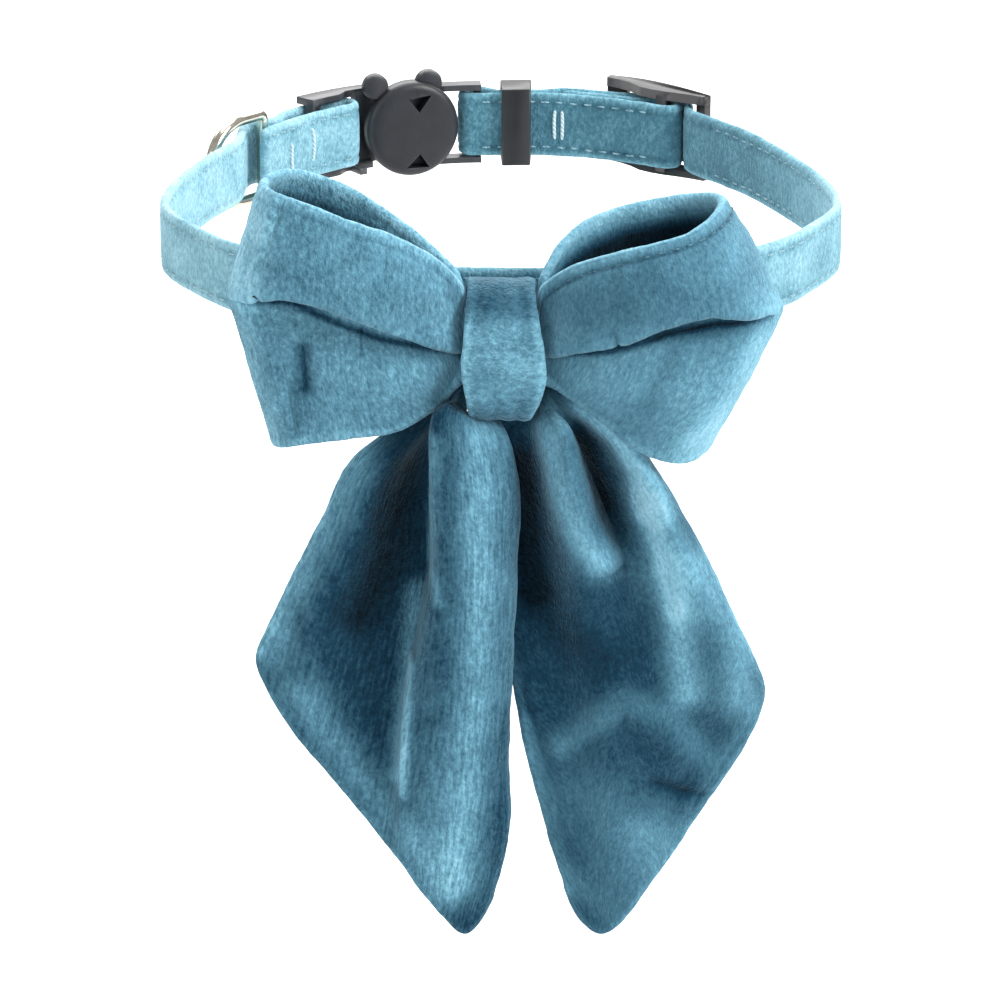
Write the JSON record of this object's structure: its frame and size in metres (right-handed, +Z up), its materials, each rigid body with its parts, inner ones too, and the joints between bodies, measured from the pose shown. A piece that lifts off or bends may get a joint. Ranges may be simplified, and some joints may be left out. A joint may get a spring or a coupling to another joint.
{
  "type": "pet bow tie collar",
  "caption": "Velvet cat collar with a bow tie, breakaway buckle, keeper, tri-glide and a D-ring, shown fastened as worn.",
  "frame": {"origin": "centre of the neck opening at the strap's mid height", "axes": "+Z up along the neck, -Y towards the bow, +Y towards the clasp, +X to the viewer's right when facing the bow"},
  "size_m": [0.0974, 0.1201, 0.1101],
  "materials": {
    "strap_velvet": "short-pile velvet, pale teal blue",
    "bow_velvet": "short-pile velvet, teal blue",
    "clasp_plastic": "moulded, satin",
    "slider_plastic": "moulded, satin",
    "ring_metal": "polished plated wire"
  },
  "bodies": {
    "collar": {"collar_strap": "strap_velvet", "bow_loop_left": "bow_velvet", "bow_loop_right": "bow_velvet", "tail_left": "bow_velvet", "tail_right": "bow_velvet", "knot_band": "bow_velvet", "clasp_disc": "clasp_plastic", "clasp_frame": "clasp_plastic", "keeper_loop": "clasp_plastic", "slider": "slider_plastic"},
    "ring": {"d_ring": "ring_metal"}
  },
  "joints": [
    {"name": "d_ring_hinge", "type": "hinge", "parent": "collar", "child": "ring", "pos_m": [-0.03593, 0.03025, 0], "axis": [0, 0, -1], "range_deg": [0, 140]}
  ]
}
